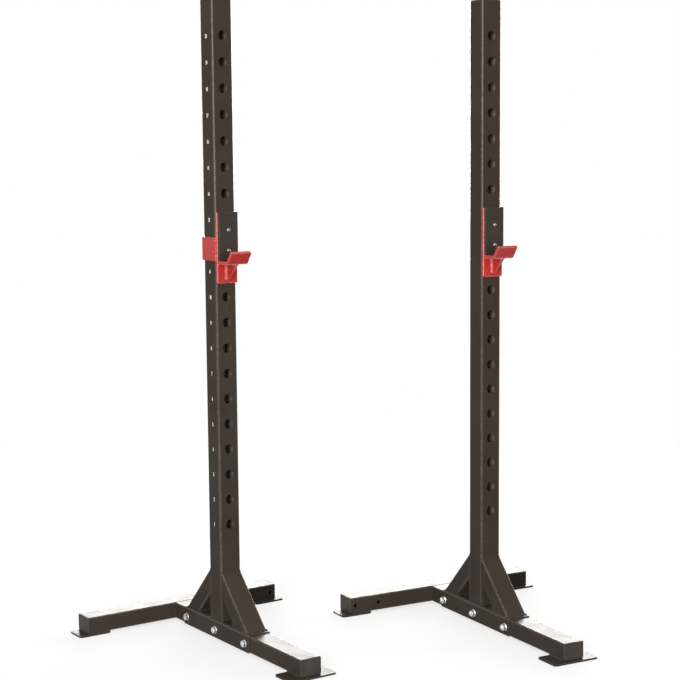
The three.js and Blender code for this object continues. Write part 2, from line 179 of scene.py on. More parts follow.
def from_above(u, v, depth):
    """Profile drawn across and backwards, with its depth up."""
    return Vector((u, v, depth))


def from_end(u, v, depth):
    """Profile drawn backwards and up, with its depth across the stand."""
    return Vector((depth, u, v))


def stacked(rings):
    """Closed solid through a stack of rings with equal counts of points."""
    piece = bmesh.new()
    loops = [[piece.verts.new(p) for p in ring] for ring in rings]
    count = len(rings[0])
    for below, above in zip(loops, loops[1:]):
        for i in range(count):
            j = (i + 1) % count
            piece.faces.new((below[i], below[j], above[j], above[i]))
    piece.faces.new(loops[0][::-1])
    piece.faces.new(loops[-1])
    bmesh.ops.recalc_face_normals(piece, faces=piece.faces)
    return piece


def prism(outline, start, end, drawn):
    """Closed solid between two copies of an outline."""
    return stacked([[drawn(p[0], p[1], depth) for p in outline] for depth in (start, end)])


def ring_at(height, radius, steps=48):
    """Ring of points at a height; its radius is a number or depends on the angle."""
    at = radius if callable(radius) else lambda angle: radius
    angles = [2 * pi * i / steps for i in range(steps)]
    return [Vector((at(a) * cos(a), at(a) * sin(a), height)) for a in angles]


def round_piece(profile, steps=48):
    """Turned piece along Z through (radius, height) pairs."""
    return stacked([ring_at(height, radius, steps) for radius, height in profile])


def hexagon_radius(flats):
    """Radius of a hexagon at an angle, for its size across flats."""
    def at(angle):
        off_flat = (angle + pi / 6) % (pi / 3) - pi / 6
        return flats / 2 / cos(off_flat)
    return at


def joined(*pieces):
    """One piece of mesh code from several."""
    whole = pieces[0]
    for piece in pieces[1:]:
        mesh = as_mesh(piece, "joined")
        whole.from_mesh(mesh)
        bpy.data.meshes.remove(mesh)
    return whole


def moved(piece, matrix):
    """A piece of mesh code after a turn or a move."""
    bmesh.ops.transform(piece, matrix=matrix, verts=piece.verts)
    return piece


def as_mesh(piece, name):
    mesh = bpy.data.meshes.new(name)
    piece.to_mesh(mesh)
    piece.free()
    return mesh


def linked(name, data):
    thing = bpy.data.objects.new(name, data)
    bpy.context.scene.collection.objects.link(thing)
    return thing


def evaluated(thing):
    """Plain mesh of an object with its modifiers; the object and its mesh are removed."""
    bpy.context.view_layer.update()
    graph = bpy.context.evaluated_depsgraph_get()
    mesh = bpy.data.meshes.new_from_object(
        thing.evaluated_get(graph), preserve_all_data_layers=True, depsgraph=graph)
    source = thing.data
    bpy.data.objects.remove(thing)
    bpy.data.meshes.remove(source)
    return mesh


def on_corner(face, mesh):
    """Whether a face is one of the long strips of a tube's round corner."""
    least_length, widest = 0.02, 0.0025
    points = [mesh.vertices[i].co for i in face.vertices]
    longest = max((a - b).length for a, b in zip(points, points[1:] + points[:1]))
    return longest > least_length and face.area / longest < widest


def edges_rounded(mesh, name, width, steps, angle):
    """The mesh with rounded edges, and with shares that tell edges and bore from the rest."""
    thing = linked(name, mesh)
    spare = bpy.data.materials.new("spare")
    kinds = [face.material_index for face in mesh.polygons]
    mesh.materials.clear()
    for _ in (OUTSIDE, BORE, ROUNDING):
        mesh.materials.append(spare)
    for face, kind in zip(mesh.polygons, kinds):
        face.material_index = kind
    mesh.shade_smooth()
    bevel = thing.modifiers.new("Rounded edges", "BEVEL")
    bevel.width = width
    bevel.segments = steps
    bevel.limit_method = "ANGLE"
    bevel.angle_limit = radians(angle)
    bevel.material = ROUNDING
    bevel.miter_outer = "MITER_ARC"
    weighted = thing.modifiers.new("Flat faces stay flat", "WEIGHTED_NORMAL")
    weighted.keep_sharp = True
    finished = evaluated(thing)
    finished.name = name
    edge = finished.attributes.new(EDGE_SHARE, "FLOAT", "CORNER")
    bore = finished.attributes.new(BORE_SHARE, "FLOAT", "CORNER")
    for face in finished.polygons:
        kind = face.material_index
        at_edge = kind == ROUNDING or kind == OUTSIDE and on_corner(face, finished)
        for corner in face.loop_indices:
            edge.data[corner].value = float(at_edge)
            bore.data[corner].value = float(kind == BORE)
        face.material_index = 0
    finished.materials.clear()
    bpy.data.materials.remove(spare)
    return finished


def put_up(side, name, mesh, body, finish, nodes=(), rounding=None):
    """Rounds the edges of a mesh that is in its place, and gives it to its body."""
    full_name = f"{side}_{name}"
    if rounding:
        mesh = edges_rounded(mesh, full_name, *rounding)
    mesh.name = full_name
    mesh.materials.clear()
    mesh.materials.append(finish_named(finish))
    piece = linked(full_name, mesh)
    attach(piece, body)
    if nodes:
        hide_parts(*[f"{side}_{node}" for node in nodes])
    if finish in SLOTS:
        SLOTS[finish]


def on_both(name, piece, body, finish, nodes=(), rounding=None):
    """The same left-stand piece on both stands; body is ROOT or CUP."""
    mesh = piece if isinstance(piece, bpy.types.Mesh) else as_mesh(piece, name)
    for side in SIDES:
        placed = mesh.copy()
        placed.transform(stand_matrix(side))
        if side == "right":
            placed.flip_normals()
        rider = ROOT if body == ROOT else f"{side}_{body}"
        put_up(side, name, placed, rider, finish, nodes, rounding)
    bpy.data.meshes.remove(mesh)


# Node trees, for geometry and for finishes.
class Signal:
    """A socket's value that takes part in sums; each sum adds its Math node."""

    def __init__(self, sheet, socket):
        self.sheet = sheet
        self.socket = socket

    def maths(self, operation, *values):
        return self.sheet.node("ShaderNodeMath", dict(enumerate(values)), operation=operation)

    def __add__(self, other):
        return self.maths("ADD", self, other)

    def __radd__(self, other):
        return self.maths("ADD", other, self)

    def __sub__(self, other):
        return self.maths("SUBTRACT", self, other)

    def __rsub__(self, other):
        return self.maths("SUBTRACT", other, self)

    def __mul__(self, other):
        return self.maths("MULTIPLY", self, other)

    def __rmul__(self, other):
        return self.maths("MULTIPLY", other, self)

    def __truediv__(self, other):
        return self.maths("DIVIDE", self, other)

    def __rtruediv__(self, other):
        return self.maths("DIVIDE", other, self)

    def clipped(self):
        return self.sheet.node("ShaderNodeClamp", {0: self})

    def beside(self, output):
        """Another output of the same node."""
        return Signal(self.sheet, self.socket.node.outputs[output])


class Sheet:
    """A node tree under construction, with the family name of most of its nodes."""
    family = "ShaderNode"

    def __init__(self, tree):
        self.tree = tree

    def node(self, kind, values=None, output=0, **settings):
        """Adds a node: settings first, then a value, link or list of links for each socket."""
        made = self.tree.nodes.new(kind if "Node" in kind else self.family + kind)
        for name, value in settings.items():
            setattr(made, name, value)
        for key, value in (values or {}).items():
            for item in value if isinstance(value, list) else [value]:
                self.feed(made.inputs[key], item)
        return Signal(self, made.outputs[output]) if made.outputs else made

    def feed(self, socket, value):
        if isinstance(value, Signal):
            self.tree.links.new(value.socket, socket)
        else:
            socket.default_value = value

    def rays_seen(self):
        """1 for rays that the camera sees, straight, mirrored or through something clear."""
        camera = self.node("LightPath", output="Is Camera Ray")
        glossy, clear = camera.beside("Is Glossy Ray"), camera.beside("Is Transmission Ray")
        return (camera + glossy + clear).clipped()


class Shape(Sheet):
    """A geometry tree. Its inputs are named by kind, with commas between names."""
    family = "GeometryNode"

    def __init__(self, name, **inputs):
        super().__init__(bpy.data.node_groups.new(name, "GeometryNodeTree"))
        face = self.tree.interface
        face.new_socket("Geometry", in_out="OUTPUT", socket_type="NodeSocketGeometry")
        face.new_socket("Geometry", in_out="INPUT", socket_type="NodeSocketGeometry")
        for kind, labels in inputs.items():
            for label in labels.split(", "):
                face.new_socket(label, in_out="INPUT", socket_type="NodeSocket" + kind)
        self.entry = self.node("NodeGroupInput")

    def __getitem__(self, label):
        return self.entry.beside(label)

    def vector(self, x=0.0, y=0.0, z=0.0):
        return self.node("ShaderNodeCombineXYZ", {0: x, 1: y, 2: z})

    def moved(self, geometry, by):
        return self.node("Transform", {"Geometry": geometry, "Translation": by})

    def row(self, count, first, step):
        """Points in a straight row."""
        values = {"Count": count, "Start Location": first, "Offset": step}
        return self.node("MeshLine", values, mode="OFFSET", count_mode="TOTAL")

    def raised(self, curve, height):
        """Closed block that rises from a filled outline."""
        base = self.node("FillCurve", {"Curve": curve}, mode="NGONS")
        up = {"Mesh": base, "Offset": self.vector(z=1), "Offset Scale": height, "Individual": False}
        walls = self.node("ExtrudeMesh", up, mode="FACES")
        floor = self.node("FlipFaces", {"Mesh": base})
        return self.node("JoinGeometry", {"Geometry": [walls, floor]})

    def end(self, geometry):
        self.node("NodeGroupOutput", {0: geometry})
        return self.tree

    def close(self, geometry):
        """Ends the tree with real geometry and its material."""
        real = self.node("RealizeInstances", {"Geometry": geometry})
        return self.end(self.node("SetMaterial", {"Geometry": real, "Material": self["Material"]}))


def grown(tree, values, mesh=None):
    """Mesh that a geometry tree makes with the given named inputs."""
    thing = linked(tree.name, mesh or bpy.data.meshes.new(tree.name))
    modifier = thing.modifiers.new(tree.name, "NODES")
    modifier.node_group = tree
    sockets = {s.name: s.identifier for s in tree.interface.items_tree if s.in_out == "INPUT"}
    for label, value in values.items():
        modifier[sockets[label]] = value
    return evaluated(thing)


def block_tree():
    """Tree: rounded rectangle that rises from a start height."""
    shape = Shape("Rounded block", Float="Width, Depth, Radius, Start, Length", Int="Steps")
    sizes = {"Width": shape["Width"], "Height": shape["Depth"]}
    outline = shape.node("CurvePrimitiveQuadrilateral", sizes, mode="RECTANGLE")
    corners = {"Curve": outline, "Count": shape["Steps"], "Radius": shape["Radius"]}
    block = shape.raised(shape.node("FilletCurve", corners, mode="POLY"), shape["Length"])
    block = shape.node("MergeByDistance", {"Geometry": block, "Distance": 1e-5})
    return shape.end(shape.moved(block, shape.vector(z=shape["Start"])))


def perforated_tube_tree(block):
    """Tree: rectangular tube up Z with a row of round holes through both walls along Y."""
    shape = Shape(
        "Perforated tube",
        Float="Width, Depth, Corner Radius, Wall, Length, Hole Diameter, First Hole, Hole Pitch",
        Int="Hole Count, Corner Steps, Hole Steps", Material="Material")
    wall, length = shape["Wall"], shape["Length"]

    def solid(width, depth, radius, start, height):
        return shape.node("Group", {
            "Width": width, "Depth": depth, "Radius": radius, "Start": start, "Length": height,
            "Steps": shape["Corner Steps"]}, node_tree=block)

    skin = solid(shape["Width"], shape["Depth"], shape["Corner Radius"], 0.0, length)
    bore = solid(
        shape["Width"] - 2 * wall, shape["Depth"] - 2 * wall, shape["Corner Radius"] - wall,
        -OVERRUN, length + 2 * OVERRUN)
    cutter = shape.node("MeshCylinder", {
        "Vertices": shape["Hole Steps"], "Radius": shape["Hole Diameter"] / 2,
        "Depth": shape["Depth"] + 2 * OVERRUN}, fill_type="NGON")
    cutter = shape.node("Transform", {"Geometry": cutter, "Rotation": (pi / 2, 0, 0)})
    first, pitch = shape.vector(z=shape["First Hole"]), shape.vector(z=shape["Hole Pitch"])
    holes = shape.row(shape["Hole Count"], first, pitch)
    cutters = shape.node("InstanceOnPoints", {"Points": holes, "Instance": cutter})
    parts = {"Mesh 1": skin, "Mesh 2": [bore, cutters]}
    return shape.close(shape.node("MeshBoolean", parts, operation="DIFFERENCE", solver="EXACT"))


def fastener_row_tree():
    """Tree: one fastener repeated along a straight row."""
    shape = Shape(
        "Row of fasteners", Object="Fastener", Vector="First, Step", Int="Count",
        Material="Material")
    points = shape.row(shape["Count"], shape["First"], shape["Step"])
    fastener = shape.node(
        "ObjectInfo", {"Object": shape["Fastener"]}, "Geometry", transform_space="ORIGINAL")
    return shape.close(shape.node("InstanceOnPoints", {"Points": points, "Instance": fastener}))


def weld_tree():
    """Tree: overlapping ripples of weld metal along drawn paths, each with its own radius."""
    shape = Shape(
        "Weld bead", Float="Ripple Pitch, Height Share", Int="Seed", Material="Material")
    path = shape.node("MeshToCurve", {"Mesh": shape["Geometry"]})
    spacing = {"Curve": path, "Length": shape["Ripple Pitch"]}
    path = shape.node("ResampleCurve", spacing, mode="LENGTH")
    ripple = shape.node("MeshIcoSphere", {"Radius": 1.0, "Subdivisions": 2})
    ripple = shape.node("SetShadeSmooth", {"Geometry": ripple, "Shade Smooth": True})
    tangent = shape.node("InputTangent")
    facing = shape.node("FunctionNodeAlignRotationToVector", {"Vector": tangent}, axis="Z")
    radius = shape.node("InputNamedAttribute", {"Name": BEAD_RADIUS}, data_type="FLOAT")
    spread = {"Min": 0.86, "Max": 1.1, "Seed": shape["Seed"]}
    size = radius * shape.node("FunctionNodeRandomValue", spread, 1, data_type="FLOAT")
    return shape.close(shape.node("InstanceOnPoints", {
        "Points": path, "Instance": ripple, "Rotation": facing,
        "Scale": shape.vector(size, size, size * shape["Height Share"])}))


def number_tree():
    """Tree: the numbers from 1 up a column, as thin ink in the XY plane."""
    shape = Shape(
        "Number column", Int="Count", Material="Material",
        Float="First Height, Pitch, Size, Narrowing, Boldness, Ink")
    outline_step = 0.05
    start = shape.node("RepeatInput").socket.node
    finish = shape.node("RepeatOutput").socket.node
    start.pair_with_output(finish)
    shape.feed(start.inputs["Iterations"], shape["Count"])
    index = Signal(shape, start.outputs["Iteration"])
    words = shape.node("FunctionNodeValueToString", {"Value": index + 1, "Decimals": 0})
    type_face = {"String": words, "Size": shape["Size"]}
    text = shape.node("StringToCurves", type_face, align_x="CENTER", align_y="MIDDLE")
    text = shape.node("RealizeInstances", {"Geometry": text})
    spacing = {"Curve": text, "Length": shape["Size"] * outline_step}
    text = shape.node("ResampleCurve", spacing, mode="LENGTH")
    narrow = shape.vector(shape["Narrowing"], 1.0, 1.0)
    text = shape.node("Transform", {"Geometry": text, "Scale": narrow})
    across = {0: shape.node("InputTangent"), 1: (0, 0, 1)}
    outwards = shape.node("ShaderNodeVectorMath", across, operation="CROSS_PRODUCT")
    widening = {"Vector": outwards, "Scale": shape["Boldness"]}
    outwards = shape.node("ShaderNodeVectorMath", widening, operation="SCALE")
    text = shape.node("SetPosition", {"Geometry": text, "Offset": outwards})
    height = shape["First Height"] + index * shape["Pitch"]
    lifted = shape.moved(shape.raised(text, shape["Ink"]), shape.vector(y=height))
    so_far = Signal(shape, start.outputs["Geometry"])
    column = shape.node("JoinGeometry", {"Geometry": [so_far, lifted]})
    shape.feed(finish.inputs["Geometry"], column)
    return shape.close(Signal(shape, finish.outputs["Geometry"]))


# Finishes.
class Finish(Sheet):
    """A material under construction, with its patterns on Object coordinates."""

    def __init__(self, name):
        self.material = bpy.data.materials.new(name)
        self.material.use_nodes = True
        super().__init__(self.material.node_tree)
        self.tree.nodes.clear()
        self.place = self.node("TexCoord", output="Object")

    def stretched(self, x, y, z):
        values = {"Vector": self.place, "Scale": (x, y, z)}
        return self.node("Mapping", values, vector_type="POINT")

    def noise(self, scale, detail=2.0, roughness=0.5, place=None):
        return self.node("TexNoise", {
            "Vector": place or self.place, "Scale": scale, "Detail": detail,
            "Roughness": roughness}, noise_dimensions="3D")

    def cells(self, scale):
        values = {"Vector": self.place, "Scale": scale}
        return self.node("TexVoronoi", values, "Distance", feature="F1")

    def band(self, value, low, high):
        """0 below low and 1 above high, with a smooth step between."""
        return self.node("MapRange", {
            "Value": value, "From Min": low, "From Max": high, "To Min": 0.0,
            "To Max": 1.0}, interpolation_type="SMOOTHSTEP")

    def blend(self, share, first, second):
        """Mix of two colours, by the numbers of the colour sockets."""
        colours = [c if isinstance(c, Signal) else (*c[:3], 1) for c in (first, second)]
        values = {0: share, 6: colours[0], 7: colours[1]}
        return self.node("Mix", values, 2, data_type="RGBA")

    def bump(self, height, strength, distance, **under):
        values = {"Height": height, "Strength": strength, "Distance": distance, **under}
        return self.node("Bump", values)

    def share(self, name):
        return self.node("Attribute", output="Fac", attribute_name=name)

    def close(self, **values):
        """Ends the material with a Principled shader; names take _ for a space."""
        sockets = {name.replace("_", " "): value for name, value in values.items()}
        shader = self.node("BsdfPrincipled", {**sockets, "IOR": 1.5})
        self.node("OutputMaterial", {"Surface": shader})


def shade(colour, factor):
    return tuple(c * factor for c in colour)


def powder_coat(name, colour, pale, rough, shine, sheen, glaze):
    """Baked powder on steel: orange peel, fine grain, uneven tone, a painted highlight that pales
    the edges and round corners, a dusted bore.

    shine is the specular level, sheen the tint of what it mirrors, glaze the gloss of its edges.
    """
    dust = (0.22, 0.175, 0.145)
    coat = Finish(name)
    edge, bore = coat.share(EDGE_SHARE), coat.share(BORE_SHARE)
    speckle = coat.noise(2600, detail=1)
    # Painted highlight: blotches along the edges and round corners, mixed towards the pale colour
    # below, stand in for the highlight their rounding catches.
    thin = coat.band(coat.noise(160, detail=3) * edge, 0.42, 0.62)
    cloud = coat.band(coat.noise(7, detail=3), 0.35, 0.65)
    tone = coat.blend(cloud, shade(colour, 0.86), colour)
    tone = coat.blend(coat.band(speckle, 0.55, 0.8) * 0.25, tone, pale)
    # Painted highlight: the edges, and the weld beads through their share, are mixed towards the
    # pale colour.
    tone = coat.blend(edge * 0.15 + thin * 0.4, tone, pale)
    tone = coat.blend(bore, tone, dust)
    smear = coat.band(coat.noise(30, detail=4, place=coat.stretched(1, 1, 0.25)), 0.4, 0.7)
    grain = coat.bump(speckle, 0.12, 0.00006)
    coat.close(
        Base_Color=tone, Roughness=rough + 0.04 * smear + 0.05 * speckle + 0.25 * bore,
        Normal=coat.bump(coat.noise(620, detail=2), 0.22, 0.0002, Normal=grain),
        Specular_IOR_Level=shine, Specular_Tint=(*sheen, 1.0), Coat_Weight=edge * glaze,
        Coat_Roughness=0.22)


def zinc_plate(name, colour):
    """Bright zinc: fine drawn lines, cloudy passivation and a few dull spots."""
    dulled = (0.48, 0.47, 0.45)
    zinc = Finish(name)
    cloud = zinc.band(zinc.noise(260, detail=3), 0.4, 0.65)
    lines = zinc.noise(900, detail=2, place=zinc.stretched(1, 6, 1))
    dull = zinc.band(zinc.noise(420, detail=4), 0.56, 0.72)
    tone = zinc.blend(cloud, shade(colour, 0.86), colour)
    zinc.close(
        Base_Color=zinc.blend(dull * 0.5, tone, dulled), Metallic=1.0 - 0.15 * dull,
        Roughness=0.2 + 0.18 * lines + 0.2 * dull, Normal=zinc.bump(lines, 0.15, 0.00004))


def moulded_plastic(name, colour, pebble):
    """Moulded black plastic with a spark-eroded pebble and edges that are rubbed pale."""
    rubbed = (0.09, 0.088, 0.085)
    plastic = Finish(name)
    cloud = plastic.noise(24, detail=3)
    tone = plastic.blend(plastic.band(cloud, 0.4, 0.7) * 0.5, colour, shade(colour, 1.5))
    worn = plastic.share(EDGE_SHARE) * plastic.band(plastic.noise(300), 0.4, 0.7) * 0.35
    plastic.close(
        Base_Color=plastic.blend(worn, tone, rubbed), Roughness=0.5 + 0.14 * cloud,
        Normal=plastic.bump(plastic.cells(pebble), 0.25, 0.00012), Specular_IOR_Level=0.2)


def liner_plastic(name, colour):
    """Milled black polyethylene: long tool lines, scuffs across its face, pale chamfers."""
    scuffed, chamfer = (0.1, 0.097, 0.092), (0.11, 0.107, 0.1)
    liner = Finish(name)
    lines = liner.noise(480, detail=2, place=liner.stretched(0.06, 1, 1))
    across = liner.stretched(0.35, 1, 1)
    scuffs = liner.band(liner.noise(70, detail=5, roughness=0.65, place=across), 0.6, 0.74)
    cloud = liner.band(liner.noise(14), 0.4, 0.7)
    tone = liner.blend(cloud * 0.6, colour, shade(colour, 1.4))
    tone = liner.blend(scuffs * 0.2, tone, scuffed)
    liner.close(
        Base_Color=liner.blend(liner.share(EDGE_SHARE) * 0.1, tone, chamfer),
        Roughness=0.4 + 0.12 * lines + 0.15 * scuffs,
        Normal=liner.bump(lines, 0.2, 0.00008), Specular_IOR_Level=0.2)


def printed_ink(name, colour):
    """Screen-printed ink, a little worn."""
    rubbed = (0.3, 0.28, 0.26)
    ink = Finish(name)
    worn = ink.band(ink.noise(900, detail=3), 0.62, 0.78)
    ink.close(
        Base_Color=ink.blend(worn * 0.6, colour, rubbed), Roughness=0.5 + 0.2 * worn,
        Normal=ink.bump(ink.noise(1800), 0.1, 0.00005))


def finish_named(name):
    made = bpy.data.materials.get(name)
    if made is None:
        raise RuntimeError(f"the finish {name} isn't made yet: run the finishes operator first")
    return made


# Settings that a user would change.
def length(label, tells, default):
    return bpy.props.FloatProperty(
        name=label, description=tells, default=default, min=0, unit="LENGTH",
        subtype="DISTANCE", precision=4)


def angle(label, tells, degrees):
    return bpy.props.FloatProperty(
        name=label, description=tells, default=radians(degrees), subtype="ANGLE")


def colour(label, tells, default):
    return bpy.props.FloatVectorProperty(
        name=label, description=tells, default=default, size=3, min=0, max=1, subtype="COLOR")


class UprightSettings(PropertyGroup):
    wall: length("Wall", "Thickness of the upright's tube", 0.0025)
    corner: length("Corner radius", "Outer radius of the tube's corners", 0.005)
    hole: length("Hole diameter", "Diameter of the holes for J-cups", 0.025)
    pitch: length("Hole pitch", "Distance between two holes", 0.067)
    first: length("First hole", "Height of the lowest hole above the floor", 0.316)
    holes: bpy.props.IntProperty(
        name="Holes", description="Count of holes in a column", default=20, min=1)
    number: length("Number size", "Type size of the hole numbers", 0.0136)
    number_drop: length("Number drop", "From the holes' middles down to the numbers'", 0.002)
    narrowing: bpy.props.FloatProperty(
        name="Number width", description="Width of the numbers as a share of the plain type",
        default=0.64, min=0.1)
    boldness: length("Number boldness", "Widening of the strokes on each side", 0.0005)
    ink: length("Ink thickness", "How far the numbers stand off the paint", 0.00015)


class BaseSettings(PropertyGroup):
    wall: length("Wall", "Thickness of the leg tubes", 0.0025)
    corner: length("Corner radius", "Outer radius of the leg tubes' corners", 0.004)
    bolt_hole: length("Bolt hole", "Diameter of the stem's holes for the bolts", 0.0108)
    link_hole: length("Link hole", "Diameter of the holes in the crossbar's inner arm", 0.010)
    link_offset: length("Link offset", "From the upright's middle to the first link hole", 0.206)
    link_pitch: length("Link pitch", "Distance between the two link holes", 0.074)
    plate_corner: length("Foot corner radius", "Radius of the foot plates' corners", 0.008)
    brace_depth: length("Brace depth", "Depth of the brace tubes", 0.045)
    brace_corner: length("Brace corner radius", "Radius of the brace tubes' corners", 0.004)
    front_toe: length("Front toe", "Height of the front brace's upright toe", 0.018)
    rear_toe: length("Rear toe", "Height of the rear brace's upright toe", 0.008)
    bead: length("Weld bead", "Radius of the main weld beads", 0.0022)
    ripple: length("Ripple pitch", "Distance between two ripples of weld metal", 0.0019)


class FastenerSettings(PropertyGroup):
    flats: length("Across flats", "Size of the hexagons across flats", 0.016)
    head: length("Head height", "Height of the bolt heads", 0.0064)
    nut: length("Nut height", "Height of the nuts", 0.008)
    bolt: length("Bolt diameter", "Outer diameter of the thread", 0.010)
    washer: length("Washer diameter", "Outer diameter of the washers", 0.020)
    washer_height: length("Washer thickness", "Thickness of the washers", 0.002)
    thread: length("Thread pitch", "Distance between two threads", 0.0015)


class CupSettings(PropertyGroup):
    plate_corner: length("Plate corner radius", "Radius of the plate's lower corners", 0.004)
    bar: length("Bar thickness", "Thickness of the bent seat bar", 0.008)
    seat_depth: length("Seat depth", "From the back plate to the bend of the lip", 0.050)
    lip: length("Lip length", "Length of the upturned lip on its outer face", 0.038)
    lean: angle("Lip lean", "How far the lip leans forwards", 36)
    wrap_bar: length("Wrap thickness", "Thickness of the wrap's flat bar", 0.005)
    wrap_inner: length("Wrap inner radius", "Inner radius of the wrap's bend", 0.003)
    wrap_lap: length("Wrap lap", "How far the wrap runs beside the back plate's edge", 0.002)
    wrap_end: length("Wrap end radius", "Radius of the corners at the wrap's free end", 0.012)
    liner_inset: length("Liner inset", "From the plate's sides in to the liner's", 0.0015)
    liner_gap: length("Liner gap", "Height of the liner's lower end above the seat", 0.0015)
    screw_head: length("Screw head", "Diameter of the liner's screw heads", 0.0105)
    socket: length("Screw socket", "Size of the screws' sockets across flats", 0.004)
    bead: length("Weld bead", "Radius of the J-cup's main weld beads", 0.0056)
    ripple: length("Ripple pitch", "Distance between two ripples of weld metal", 0.0047)


class FinishSettings(PropertyGroup):
    coat: colour("Frame coat", "Powder coat of the frame", (0.0495, 0.0378, 0.0295))
    # Each coat's thin colour speckles the grain and is also the painted highlight along edges,
    # round corners and weld beads.
    coat_speckle_and_highlight: colour("Frame coat, thin", "The coat where it is thin", (0.11, 0.09, 0.074))
    cup: colour("J-cup coat", "Powder coat of the J-cups", (0.46, 0.0195, 0.021))
    cup_speckle_and_highlight: colour("J-cup coat, thin", "The coat where it is thin", (0.72, 0.3, 0.26))
    zinc: colour("Zinc", "Zinc plate of bolts, nuts and pins", (0.72, 0.73, 0.74))
    zinc_dark: colour("Dark zinc", "Zinc plate of the liners' screws", (0.27, 0.26, 0.245))
    plastic: colour("Caps", "Plastic of the end caps", (0.044, 0.036, 0.03))
    liner: colour("Liner", "Plastic of the J-cups' liners", (0.027, 0.021, 0.0155))
    ink: colour("Ink", "Ink of the hole numbers", (0.85, 0.84, 0.81))


class StageSettings(PropertyGroup):
    focal: bpy.props.FloatProperty(
        name="Focal length", description="Lens, on a 36 mm sensor", default=90.0, min=1,
        unit="CAMERA")
    camera: bpy.props.FloatVectorProperty(
        name="Camera place", description="Where the camera stands",
        default=(-2.5697, -3.6164, 1.3490), subtype="TRANSLATION", unit="LENGTH")
    heading: angle("Heading", "Turn of the camera from the row's +Y towards +X", 34.21)
    pitch: angle("Pitch", "How far the camera looks down", 7.07)
    roll: angle("Roll", "Turn of the camera about its own axis", -0.48)
    floor: colour("Floor", "Colour of the floor", (0.96, 0.96, 0.95))
    bounce: colour("Bounce", "What the floor throws back on the stands", (0.11, 0.103, 0.096))
    glare: colour("Glare", "Softbox that whitens the tops of the legs", (1.0, 0.99, 0.94))
    edge: length("Floor's edge", "Distance at which the floor is as white as the backdrop", 3.2)
    ambient: bpy.props.FloatProperty(
        name="Ambient", description="Strength of the room's even light", default=0.22, min=0)


# Operators, one for each piece or group of like pieces.
class SQUAT_OT_finishes(Operator):
    """Makes the materials that the other operators use"""
    bl_idname = "squat.finishes"
    bl_label = "Finishes"

    def execute(self, context):
        tint = context.scene.squat_finish
        powder_coat(
            "Frame coat", tint.coat, tint.coat_speckle_and_highlight, rough=0.34, shine=0.022,
            sheen=(1.0, 0.84, 0.68), glaze=0.34)
        powder_coat(
            "Cup coat", tint.cup, tint.cup_speckle_and_highlight, rough=0.26, shine=0.36,
            sheen=(1.0, 0.88, 0.66), glaze=0.8)
        zinc_plate("Zinc plate", tint.zinc)
        zinc_plate("Dark zinc plate", tint.zinc_dark)
        moulded_plastic("Cap plastic", tint.plastic, 1500)
        liner_plastic("Liner plastic", tint.liner)
        printed_ink("Number ink", tint.ink)
        return {"FINISHED"}


class SQUAT_OT_tubes(Operator):
    """Builds the uprights, stems and crossbars as perforated tubes"""
    bl_idname = "squat.tubes"
    bl_label = "Tubes"

    def execute(self, context):
        upright, base = context.scene.squat_upright, context.scene.squat_base
        cup_hole_steps, bolt_hole_steps = 36, 24
        tree = perforated_tube_tree(block_tree())
        low, high = near_box("upright")
        self.tube(
            tree, "upright", (0, 1, 2), turned(Matrix.Identity(3), (0, 0, low.z)), upright,
            (upright.hole, upright.first - low.z, upright.pitch, upright.holes, cup_hole_steps))

        low, high = near_box("stem")
        bolts = [foot_of("left").y - middle_of("left_bolt_" + place).y for place in PLACES]
        forwards = turned(((0, 1, 0), (0, 0, -1), (-1, 0, 0)), (0, high.y, (low.z + high.z) / 2))
        self.tube(
            tree, "stem", (2, 0, 1), forwards, base,
            (base.bolt_hole, bolts[0] + high.y, bolts[1] - bolts[0], len(bolts), bolt_hole_steps))

        low, high = near_box("crossbar")
        start = (low.x, (low.y + high.y) / 2, (low.z + high.z) / 2)
        across = turned(((0, 0, 1), (0, 1, 0), (-1, 0, 0)), start)
        self.tube(
            tree, "crossbar", (2, 1, 0), across, base,
            (base.link_hole, base.link_offset - low.x, base.link_pitch, 2, bolt_hole_steps))
        return {"FINISHED"}

    def tube(self, tree, node, axes, place, size, holes):
        """A tube in a node's box; axes are the box's along its width, depth and length.

        holes are their diameter, first place, pitch and count, and the steps round each.
        """
        low, high = near_box(node)
        width, depth, run = [high[axis] - low[axis] for axis in axes]
        hole, first, pitch, count, hole_steps = holes
        mesh = grown(tree, {
            "Width": width, "Depth": depth, "Length": run, "Corner Radius": size.corner,
            "Wall": size.wall, "Hole Diameter": hole, "First Hole": first, "Hole Pitch": pitch,
            "Hole Count": count, "Corner Steps": 8, "Hole Steps": hole_steps,
            "Material": finish_named("Frame coat")})
        reach = (width / 2 - size.wall + 1e-5, depth / 2 - size.wall + 1e-5)
        for face in mesh.polygons:
            corners = [mesh.vertices[i].co for i in face.vertices]
            inside = all(abs(c.x) < reach[0] and abs(c.y) < reach[1] for c in corners)
            face.material_index = BORE if inside else OUTSIDE
        mesh.transform(place)
        on_both(node + "_tube", mesh, ROOT, "Frame coat", [node], TUBE_EDGES)


